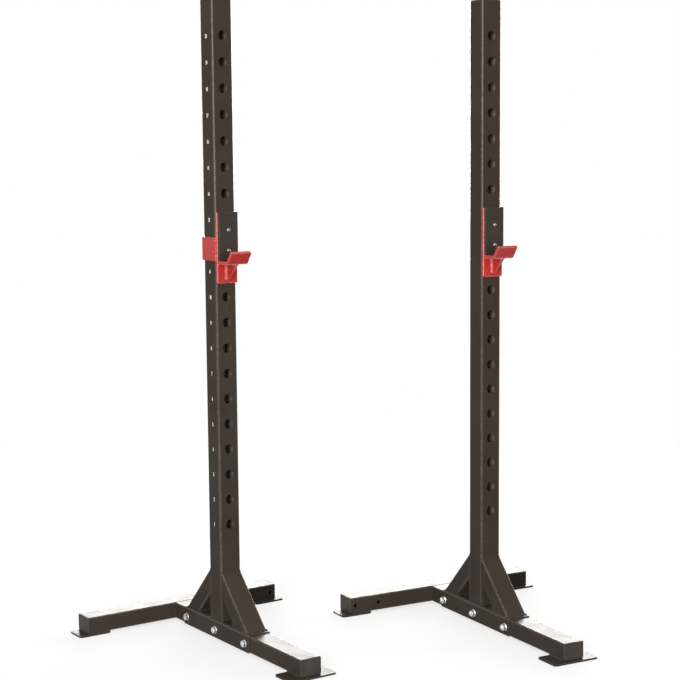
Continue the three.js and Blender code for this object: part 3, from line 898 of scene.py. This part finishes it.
class SQUAT_OT_caps(Operator):
    """Builds the plugs in the tube ends"""
    bl_idname = "squat.caps"
    bl_label = "End caps"

    def execute(self, context):
        leg_corner, leg_neck = context.scene.squat_base.corner, (0.003, 0.001)
        sharper, plug_neck = 0.001, (0.0015, 0.002)
        low, high = near_box("stem_end_cap")
        rim = -near_box("stem")[0].y
        self.cap(
            "stem_cap", "stem_end_cap", from_front, (0, 2), leg_corner, leg_neck,
            (rim + PLAY, -low.y), (-high.y, rim + PLAY + SUNK))
        rims = near_box("crossbar")
        low, high = near_box("crossbar_cap_outer")
        rim = rims[0].x - PLAY
        self.cap(
            "crossbar_end_outer", "crossbar_cap_outer", from_end, (1, 2), leg_corner, leg_neck,
            (low.x, rim), (rim - SUNK, high.x))
        low, high = near_box("crossbar_cap_inner")
        rim = rims[1].x + PLAY
        self.cap(
            "crossbar_end_inner", "crossbar_cap_inner", from_end, (1, 2), leg_corner, leg_neck,
            (rim, high.x), (low.x, rim + SUNK))
        low, high = near_box("top_plug")
        rim = near_box("upright")[1].z + PLAY
        self.cap(
            "upright_plug", "top_plug", from_above, (0, 1),
            context.scene.squat_upright.corner - sharper, plug_neck,
            (rim, high.z), (low.z, rim + SUNK))
        return {"FINISHED"}

    def cap(self, name, node, drawn, axes, corner, neck, head, plug):
        """A head over the rim and a neck, (inset, corner radius), in the tube."""
        u, v = axes
        low, high = near_box(node)
        inset, neck_corner = neck
        outer = rectangle((low[u], low[v]), (high[u], high[v]), corner)
        inner = rectangle(
            (low[u] + inset, low[v] + inset), (high[u] - inset, high[v] - inset), neck_corner)
        whole = joined(prism(outer, *head, drawn), prism(inner, *plug, drawn))
        on_both(name, whole, ROOT, "Cap plastic", [node], CAP_EDGES)


class SQUAT_OT_feet(Operator):
    """Builds the foot plates"""
    bl_idname = "squat.feet"
    bl_label = "Foot plates"

    def execute(self, context):
        corner = context.scene.squat_base.plate_corner
        for which in ("front", "outer", "inner"):
            low, high = near_box("foot_" + which)
            plate = prism(rectangle(low.xy, high.xy, corner), low.z, high.z, from_above)
            name = "foot_plate_" + which
            on_both(name, plate, ROOT, "Frame coat", ["foot_" + which], FOOT_EDGES)
        return {"FINISHED"}


class SQUAT_OT_saddles(Operator):
    """Builds the folded saddles over the stems"""
    bl_idname = "squat.saddles"
    bl_label = "Saddles"

    def execute(self, context):
        inner_fold, outer_fold = 0.002, 0.005
        low, high = near_box("saddle")
        stem = near_box("stem")[1]
        inner, under = stem.x + PLAY, stem.z + PLAY
        section = rounded_outline([
            (low.x, low.z, 0), (-inner, low.z, 0), (-inner, under, inner_fold),
            (inner, under, inner_fold), (inner, low.z, 0), (high.x, low.z, 0),
            (high.x, high.z, outer_fold), (low.x, high.z, outer_fold)])
        channel = prism(section, -high.y, -low.y, from_front)
        on_both("saddle_channel", channel, ROOT, "Frame coat", ["saddle"], SHEET_EDGES)
        return {"FINISHED"}


class SQUAT_OT_braces(Operator):
    """Builds the mitred braces before and behind the uprights"""
    bl_idname = "squat.braces"
    bl_label = "Braces"

    def execute(self, context):
        base = context.scene.squat_base
        for which, toe_height in (("front", base.front_toe), ("rear", base.rear_toe)):
            low, high = near_box("brace_" + which)
            face, reach = (-high.y, -low.y) if which == "front" else (low.y, high.y)
            deck = low.z
            slope = (high.z - deck) / (reach - face)
            drop = base.brace_depth * hypot(1, slope)
            toe = face + (high.z - deck - drop - toe_height) / slope
            start, end, below = face - OVERRUN, reach + OVERRUN / slope, deck - OVERRUN

            def level(along, fall=0.0):
                return high.z - fall - (along - face) * slope

            side = rounded_outline([
                (start, level(start), 0), (end, below, 0), (toe, below, 0),
                (toe, level(toe, drop), 0), (start, level(start, drop), 0)])
            brace = prism(side, low.x, high.x, from_side)
            long_edges = [e for e in brace.edges if abs(e.verts[0].co.x - e.verts[1].co.x) < 1e-6]
            bmesh.ops.bevel(
                brace, geom=long_edges, offset=base.brace_corner, segments=6, profile=0.5,
                affect="EDGES")
            for point, normal in (((0, -face, 0), (0, 1, 0)), ((0, 0, deck), (0, 0, -1))):
                cut = bmesh.ops.bisect_plane(
                    brace, geom=brace.verts[:] + brace.edges[:] + brace.faces[:],
                    plane_co=point, plane_no=normal, clear_outer=True)
                rim = [e for e in cut["geom_cut"] if isinstance(e, bmesh.types.BMEdge)]
                bmesh.ops.holes_fill(brace, edges=rim)
            if which == "rear":
                moved(brace, Matrix.Rotation(pi, 4, "Z"))
            bmesh.ops.recalc_face_normals(brace, faces=brace.faces)
            name = f"brace_{which}_tube"
            on_both(name, brace, ROOT, "Frame coat", ["brace_" + which], BRACE_EDGES)
        return {"FINISHED"}


def hexagon_piece(flats, start, end):
    """Hexagon along Z whose corners are turned off at 30 degrees."""
    crown = 0.93
    outer = hexagon_radius(flats)
    circle = flats / 2 * crown
    upper = ring_at(end, outer)
    for point in upper:
        past = outer(atan2(point.y, point.x)) - circle
        point.z = end - max(0.0, past) * tan(radians(30))
    return stacked([ring_at(start, outer), upper, ring_at(end, circle)])


def washer_piece(size):
    """Washer from 0 up Z, filled where the bolt goes through."""
    bore, rim, thick = size.bolt / 2, size.washer / 2, size.washer_height
    edge, chamfer = rim - 0.0003, 0.0004
    return round_piece([
        (bore, 0), (edge, 0), (rim, chamfer), (rim, thick - chamfer), (edge, thick), (bore, thick)])


def threaded_end(radius, start, end, pitch):
    """Rod with thread ridges between two heights and a small chamfer at its end."""
    root = radius * 0.86
    profile = [(radius, start)]
    height = start
    while height + pitch < end - pitch / 2:
        profile += [
            (radius, height + pitch * 0.1), (root, height + pitch * 0.5),
            (root, height + pitch * 0.6), (radius, height + pitch)]
        height += pitch
    profile += [(radius * 0.98, end - pitch * 0.5), (radius * 0.8, end)]
    return round_piece(profile, 32)


def fastener_row(tree, name, piece, rounding, first, step, count, finish):
    """Mesh of a row of one fastener with rounded edges."""
    pattern = linked(name, edges_rounded(as_mesh(piece, name), name, *rounding))
    row = grown(tree, {
        "Fastener": pattern, "First": Vector(first), "Step": Vector(step), "Count": count,
        "Material": finish_named(finish)})
    source = pattern.data
    bpy.data.objects.remove(pattern)
    bpy.data.meshes.remove(source)
    return row


class SQUAT_OT_bolts(Operator):
    """Builds the bolts across the saddles, with their nuts and washers"""
    bl_idname = "squat.bolts"
    bl_label = "Bolts and nuts"

    def execute(self, context):
        size = context.scene.squat_fastener
        tree = fastener_row_tree()
        half = near_box("saddle")[1].x + PLAY
        thick, radius = size.washer_height, size.bolt / 2

        top = thick + size.head
        mark, brow = size.flats * 0.3, size.flats * 0.26
        crown = round_piece([(mark, top - 0.0002), (mark, top + 0.0001), (brow, top + 0.00025)])
        shank = round_piece([(radius, -2 * half), (radius, thick)], 24)
        bolt = joined(washer_piece(size), hexagon_piece(size.flats, thick, top), crown, shank)

        top = thick + size.nut
        mouth = round_piece([(radius * 1.2, top - 0.0001), (radius * 1.12, top + 0.00015)])
        tail = threaded_end(radius, top - 0.001, near_box("bolt_middle")[1].x - half, size.thread)
        nut = joined(washer_piece(size), hexagon_piece(size.flats, thick, top), mouth, tail)

        middles = [middle_of("left_bolt_" + place) - foot_of("left") for place in PLACES]
        step = middles[1] - middles[0]
        for name, piece, out in (("bolt", bolt, -1), ("nut", nut, 1)):
            sideways = moved(piece, Matrix.Rotation(out * pi / 2, 4, "Y"))
            row = fastener_row(
                tree, name, sideways, FASTENER_EDGES, (out * half, *middles[0].yz),
                (0, *step.yz), len(PLACES), "Zinc plate")
            nodes = [f"{name}_{place}" for place in PLACES]
            on_both(name + "_row", row, ROOT, "Zinc plate", nodes)
        return {"FINISHED"}


def bead_paths(paths):
    """Mesh of drawn paths, each (radius, points), with the radius kept on its points."""
    drawn = bmesh.new()
    layer = drawn.verts.layers.float.new(BEAD_RADIUS)
    for radius, points in paths:
        before = None
        for point in points:
            vertex = drawn.verts.new(point)
            vertex[layer] = radius
            if before is not None:
                drawn.edges.new((before, vertex))
            before = vertex
    return as_mesh(drawn, "bead_paths")


class SQUAT_OT_welds(Operator):
    """Lays the weld beads of the bases and the J-cups"""
    bl_idname = "squat.welds"
    bl_label = "Weld beads"

    def execute(self, context):
        base, cup = context.scene.squat_base, context.scene.squat_cup
        tree = weld_tree()
        for name, paths, body, finish, pitch, glaze in (
                ("frame_welds", self.frame_paths(base.bead), ROOT, "Frame coat", base.ripple, 0.25),
                ("cup_welds", self.cup_paths(cup), CUP, "Cup coat", cup.ripple, 1.0)):
            metal = grown(tree, {
                "Ripple Pitch": pitch, "Height Share": 0.75, "Seed": 7,
                "Material": finish_named(finish)}, bead_paths(paths))
            for spare in [a for a in metal.attributes if a.name == BEAD_RADIUS]:
                metal.attributes.remove(spare)
            # In the powder coat this share glosses the beads and also paints them paler, a painted
            # highlight.
            gloss_and_painted_highlight = metal.attributes.new(EDGE_SHARE, "FLOAT", "CORNER")
            for corner in gloss_and_painted_highlight.data:
                corner.value = glaze
            on_both(name, metal, body, finish)
        return {"FINISHED"}

    def frame_paths(self, bead):
        """Beads' middles stand off the steel, and their ends stop short of its corners."""
        off, short, lift = 0.0004, 0.004, 0.0002
        brace_bead, seam_bead, top_bead = bead * 0.9, 0.0019, 0.0012
        brace_off, seam_in, seam_short = 0.0007, (0.0017, 0.001), 0.001
        plate_off, plate_lap, plate_short = 0.0005, 0.002, 0.003
        up_low, up_high = near_box("upright")
        stem_low, stem_high = near_box("stem")
        bar_low, bar_high = near_box("crossbar")
        brace_low, brace_high = near_box("brace_front")
        deck = near_box("saddle")[1].z
        x, z = up_high.x + off, deck + off
        front, rear = brace_low.y - PLAY, near_box("brace_rear")[1].y + PLAY
        corners = ((-x, front), (-x, rear), (x, rear), (x, front), (-x, front))
        paths = [(bead, [(*corner, z) for corner in corners])]
        top = brace_high.z + lift
        for y in (up_low.y - brace_off, up_high.y + brace_off):
            paths.append((brace_bead, [(short - x, y, top), (x - short, y, top)]))
        for side in (-1, 1):
            for end in (-1, 1):
                seam = (side * (up_high.x - seam_in[0]), end * (up_high.y - seam_in[1]))
                ends = (deck + seam_short, brace_high.z - seam_short)
                paths.append((seam_bead, [(*seam, height) for height in ends]))
        flank = stem_high.x + off
        joint = bar_low.y - PLAY
        for side in (-flank, flank):
            ends = (stem_low.z + short, stem_high.z - short)
            paths.append((bead, [(side, joint, height) for height in ends]))
        ends = (stem_low.x + short, stem_high.x - short)
        paths.append((top_bead, [(end, joint - lift, stem_high.z - off) for end in ends]))
        plate = near_box("foot_front")[1]
        for side in (-flank, flank):
            ends = (plate.y - plate_lap, stem_low.y + plate_short)
            paths.append((bead, [(side, end, plate.z + plate_off) for end in ends]))
        for which in ("outer", "inner"):
            low, high = near_box("foot_" + which)
            ends = (max(low.x, bar_low.x) + plate_short, min(high.x, bar_high.x) - plate_short)
            rim = (bar_low.y - off, high.z + plate_off)
            paths.append((bead, [(end, *rim) for end in ends]))
        return paths

    def cup_paths(self, cup):
        """Thin beads under the seat, a thick one down each side of the rib, one on the wrap."""
        bead, thin, seam_bead = cup.bead, cup.bead * 0.4, cup.bead * 0.56
        off, below, short = 0.0008, 0.0007, 0.002
        rib_top, rib_end, seam_off, seam_short = 0.003, 0.005, 0.0012, 0.003
        plate_low, plate_high = near_box("cup_plate")
        rib_low, rib_high = near_box("cup_gusset")
        wrap_low, wrap_high = near_box("cup_wrap")
        front, under = plate_low.y - off, near_box("cup_seat")[0].z - below
        paths = []
        for side in (-1, 1):
            rib = side * (rib_high.x + off)
            corner = (rib, front, under)
            paths += [
                (thin, [(side * (plate_high.x - short), front, under), corner]),
                (bead, [(rib, front, under - rib_top), (rib, front, rib_low.z + rib_end)]),
                (thin, [corner, (rib, rib_low.y + short, under)])]
        seam = (plate_low.x - seam_off, plate_high.y - cup.wrap_lap - off)
        ends = (wrap_low.z + seam_short, wrap_high.z - seam_short)
        return paths + [(seam_bead, [(*seam, end) for end in ends])]


class SQUAT_OT_numbers(Operator):
    """Prints the hole numbers on the outer side of each upright"""
    bl_idname = "squat.numbers"
    bl_label = "Hole numbers"

    def execute(self, context):
        size = context.scene.squat_upright
        column = grown(number_tree(), {
            "Count": size.holes, "First Height": size.first - size.number_drop,
            "Pitch": size.pitch, "Size": size.number, "Narrowing": size.narrowing,
            "Boldness": size.boldness, "Ink": size.ink, "Material": finish_named("Number ink")})
        outer = abs(near_box("upright")[0].x)
        for side in SIDES:
            numbers = column.copy()
            out = -1 if side == "left" else 1
            reads = turned(((0, 0, out), (out, 0, 0), (0, 1, 0)), (out * outer, 0, 0))
            numbers.transform(stand_matrix(side) @ mirror_of(side) @ reads)
            put_up(side, "hole_numbers", numbers, ROOT, "Number ink")
        bpy.data.meshes.remove(column)
        return {"FINISHED"}


class SQUAT_OT_cup_steel(Operator):
    """Builds the steel of the J-cups: plate, seat with lip, gusset, wrap and pin"""
    bl_idname = "squat.cup_steel"
    bl_label = "J-cup steel"

    def execute(self, context):
        cup = context.scene.squat_cup
        low, high = near_box("cup_plate")
        outline = rounded_outline([
            (low.x, low.z, cup.plate_corner), (high.x, low.z, cup.plate_corner),
            (high.x, high.z, 0), (low.x, high.z, 0)], 8)
        plate = prism(outline, -high.y, -low.y, from_front)

        low, high = near_box("cup_gusset")
        nose, heel, round_off = 0.003, 0.007, 0.001
        outline = rounded_outline([
            (-high.y, low.z, 0), (-high.y + heel, low.z, round_off),
            (-low.y, high.z - nose, round_off), (-low.y, high.z, 0), (-high.y, high.z, 0)], 3)
        rib = prism(outline, low.x, high.x, from_side)

        for name, piece, node, rounding in (
                ("cup_back_plate", plate, "cup_plate", PLATE_EDGES),
                ("cup_seat_bar", self.seat(cup), "cup_seat", SEAT_EDGES),
                ("cup_rib", rib, "cup_gusset", SHEET_EDGES),
                ("cup_wrap_bar", self.wrap(cup), "cup_wrap", WRAP_EDGES)):
            on_both(name, piece, CUP, "Cup coat", [node], rounding)

        low, high = near_box("cup_pin")
        radius, run, chamfer = (high.x - low.x) / 2, high.y - low.y, 0.002
        pin = round_piece([(radius, 0), (radius, run - chamfer), (radius - chamfer, run)])
        start = (0, low.y, (low.z + high.z) / 2)
        pin = moved(pin, turned(((1, 0, 0), (0, 0, 1), (0, -1, 0)), start))
        on_both("cup_hook_pin", pin, CUP, "Zinc plate", ["cup_pin"], TUBE_EDGES)
        return {"FINISHED"}

    def seat(self, cup):
        """Flat bar bent up and forwards into the lip."""
        outer_bend, inner_bend = 0.008, 0.002
        low, high = near_box("cup_seat")
        start, bottom = -high.y, low.z
        top = bottom + cup.bar
        along = Vector((sin(cup.lean), cos(cup.lean)))
        knee = start + cup.seat_depth
        tip = Vector((knee, bottom)) + along * cup.lip
        inner_tip = tip + Vector((-along.y, along.x)) * cup.bar
        inner_knee = inner_tip.x - (inner_tip.y - top) * tan(cup.lean)
        outline = rounded_outline([
            (start, bottom, 0), (knee, bottom, outer_bend), (*tip, 0), (*inner_tip, 0),
            (inner_knee, top, inner_bend), (start, top, 0)], 10)
        return prism(outline, low.x, high.x, from_side)

    def wrap(self, cup):
        """Flat bar along the outer side, turned in behind the upright to a rounded end."""
        steps, shorter = 10, 0.005
        low, high = near_box("cup_wrap")
        near_x, near_y = low.x + cup.wrap_bar, high.y - cup.wrap_bar
        rounding_x = high.x - shorter - cup.wrap_end
        bend = Vector((near_x + cup.wrap_inner, near_y - cup.wrap_inner))
        lap_y = near_box("cup_plate")[1].y - cup.wrap_lap
        stations = [(Vector((near_x, y)), Vector((-1, 0))) for y in (lap_y, bend.y)]
        turns = [pi / 2 * step / steps for step in range(1, steps + 1)]
        for turn in turns:
            out = Vector((-cos(turn), sin(turn)))
            stations.append((bend + out * cup.wrap_inner, out))
        for turn in turns:
            along = rounding_x + cup.wrap_end * sin(turn)
            stations.append((Vector((along, near_y)), Vector((0, 1))))
        rings = []
        for place, out in stations:
            into_end = max(0.0, place.x - rounding_x)
            trim = cup.wrap_end - sqrt(max(0.0, cup.wrap_end ** 2 - into_end ** 2))
            far = place + out * cup.wrap_bar
            rings.append([
                Vector((*place, low.z + trim)), Vector((*far, low.z + trim)),
                Vector((*far, high.z - trim)), Vector((*place, high.z - trim))])
        return stacked(rings)


class SQUAT_OT_liners(Operator):
    """Builds the J-cups' plastic liners and their screws"""
    bl_idname = "squat.liners"
    bl_label = "Liners"

    def execute(self, context):
        cup = context.scene.squat_cup
        low, high = near_box("cup_liner")
        foot = near_box("cup_seat")[0].z + cup.bar + cup.liner_gap
        outline = rectangle((low.x + cup.liner_inset, foot), (high.x - cup.liner_inset, high.z))
        pad = prism(outline, -high.y, -low.y, from_front)
        on_both("cup_liner_pad", pad, CUP, "Liner plastic", ["cup_liner"], LINER_EDGES)

        nodes = ["liner_screw_lower", "liner_screw_upper"]
        boxes = [near_box(node) for node in nodes]
        heights = [(box[0].z + box[1].z) / 2 for box in boxes]
        back = low.y - PLAY
        rise = back - boxes[0][0].y
        screw = moved(self.screw(cup, rise), turned(((1, 0, 0), (0, 0, -1), (0, 1, 0))))
        row = fastener_row(
            fastener_row_tree(), "screw", screw, SCREW_EDGES, (0, back, heights[0]),
            (0, 0, heights[1] - heights[0]), len(nodes), "Dark zinc plate")
        on_both("liner_screws", row, CUP, "Dark zinc plate", nodes)
        return {"FINISHED"}

    def screw(self, cup, rise):
        """Domed head along Z, with a hexagon socket in it."""
        steps, sides, socket_floor = 6, 36, 0.35
        last = pi / 2 * steps / 8
        rings = [ring_at(0.0, cup.screw_head / 2, sides)]
        for step in range(1, steps + 1):
            turn = last * step / steps
            radius = cup.screw_head / 2 * cos(turn)
            rings.append(ring_at(rise * sin(turn) / sin(last), radius, sides))
        socket = hexagon_radius(cup.socket)
        return stacked(rings + [ring_at(h, socket, sides) for h in (rise, rise * socket_floor)])


class SQUAT_OT_stage(Operator):
    """Sets up the floor, the lamps, the room's light and the camera"""
    bl_idname = "squat.stage"
    bl_label = "Stage"

    def execute(self, context):
        scene = context.scene
        stage = scene.squat_stage
        self.floor(stage)
        self.room(scene, stage)
        self.lamp("Key softbox", (-5.5, -4.5, 1.9), (0, 0, 0.9), (2.2, 3.0), 545)
        self.lamp("Fill softbox", (-1.2, -5.3, 1.5), (0, 0, 0.8), (2.4, 2.2), 72)
        self.lamp("Side softbox", (4.6, 0.5, 1.6), (0, 0, 0.8), (2.0, 2.0), 110)
        self.lamp("Top softbox", (0.0, 0.0, 4.6), (0, 0, 0), (4.5, 4.5), 70)
        self.lamp("Back softbox", (3.1, 4.2, 1.75), (0, 0, 0.1), (4.4, 1.8), 260)
        glare = self.lamp("Glare softbox", (3.05, 4.1, 1.75), (0, 0, 0.1), (4.4, 1.8), 520)
        glare.visible_diffuse = False
        glare.data.color = stage.glare
        self.camera(scene, stage)
        scene.view_settings.view_transform = "Standard"
        return {"FINISHED"}

    def floor(self, stage):
        """Keeps the stands' shadow, and turns into the backdrop's white further out."""
        below, least_white = 0.0006, 0.7
        plane = bmesh.new()
        bmesh.ops.create_grid(plane, x_segments=2, y_segments=2, size=60)
        floor = linked("Floor", as_mesh(plane, "Floor"))
        floor.data.transform(Matrix.Translation((0, 0, -below)))
        pale = Finish("Pale floor")
        seen = pale.rays_seen()
        tone = pale.blend(pale.noise(3), tuple(stage.floor), shade(stage.floor, 0.98))
        tone = pale.blend(seen, tuple(stage.bounce), tone)
        lit = pale.node("BsdfDiffuse", {"Color": tone})
        white = pale.node("Emission", {"Color": (1, 1, 1, 1), "Strength": 1.0})
        away = pale.node("VectorMath", {0: pale.place}, "Value", operation="LENGTH")
        share = least_white + (1 - least_white) * pale.band(away, stage.edge * 0.5, stage.edge)
        mixed = pale.node("MixShader", {0: seen * share, 1: lit, 2: white})
        pale.node("OutputMaterial", {"Surface": mixed})
        floor.data.materials.append(pale.material)

    def room(self, scene, stage):
        scene.world = bpy.data.worlds.new("Studio")
        scene.world.use_nodes = True
        sheet = Sheet(scene.world.node_tree)
        sheet.tree.nodes.clear()
        even, white = [
            sheet.node("Background", {"Color": (1, 1, 1, 1), "Strength": strength})
            for strength in (stage.ambient, 1.0)]
        mixed = sheet.node("MixShader", {0: sheet.rays_seen(), 1: even, 2: white})
        sheet.node("OutputWorld", {"Surface": mixed})

    def lamp(self, name, place, aim, size, power):
        """Softbox that faces a point; its size is in metres and its power in watts."""
        light = bpy.data.lights.new(name, "AREA")
        light.shape = "RECTANGLE"
        light.size, light.size_y = size
        light.energy = power
        thing = linked(name, light)
        thing.location = place
        thing.visible_camera = False
        away = Vector(aim) - Vector(place)
        thing.rotation_euler = away.to_track_quat("-Z", "Y").to_euler()
        return thing

    def camera(self, scene, stage):
        data = bpy.data.cameras.new("Photograph's camera")
        data.sensor_width = 36
        data.lens = stage.focal
        camera = linked("Photograph's camera", data)
        heading = Matrix.Rotation(-stage.heading, 4, "Z")
        pitch = Matrix.Rotation(pi / 2 - stage.pitch, 4, "X")
        roll = Matrix.Rotation(stage.roll, 4, "Z")
        camera.matrix_world = Matrix.Translation(stage.camera) @ heading @ pitch @ roll
        scene.camera = camera


STEPS = (
    SQUAT_OT_finishes, SQUAT_OT_tubes, SQUAT_OT_caps, SQUAT_OT_feet, SQUAT_OT_saddles,
    SQUAT_OT_braces, SQUAT_OT_bolts, SQUAT_OT_numbers, SQUAT_OT_cup_steel, SQUAT_OT_liners,
    SQUAT_OT_welds, SQUAT_OT_stage,
)
SETTINGS = {
    "squat_upright": UprightSettings, "squat_base": BaseSettings,
    "squat_fastener": FastenerSettings, "squat_cup": CupSettings,
    "squat_finish": FinishSettings, "squat_stage": StageSettings,
}


class SQUAT_PT_panel(Panel):
    """Lists the build steps and their sizes"""
    bl_idname = "SQUAT_PT_panel"
    bl_label = "Squat stands"
    bl_space_type = "VIEW_3D"
    bl_region_type = "UI"
    bl_category = "Squat stands"

    def draw(self, context):
        for name, group in SETTINGS.items():
            box = self.layout.box()
            settings = getattr(context.scene, name)
            for field in group.__annotations__:
                box.prop(settings, field)
        for step in STEPS:
            self.layout.operator(step.bl_idname)


def register():
    for group in (*SETTINGS.values(), *STEPS, SQUAT_PT_panel):
        bpy.utils.register_class(group)
    for name, group in SETTINGS.items():
        setattr(bpy.types.Scene, name, bpy.props.PointerProperty(type=group))


def unregister():
    for name in SETTINGS:
        delattr(bpy.types.Scene, name)
    for group in reversed((*SETTINGS.values(), *STEPS, SQUAT_PT_panel)):
        bpy.utils.unregister_class(group)


def main():
    register()
    for step in STEPS:
        family, name = step.bl_idname.split(".")
        getattr(getattr(bpy.ops, family), name)()


if __name__ == "__main__":
    main()
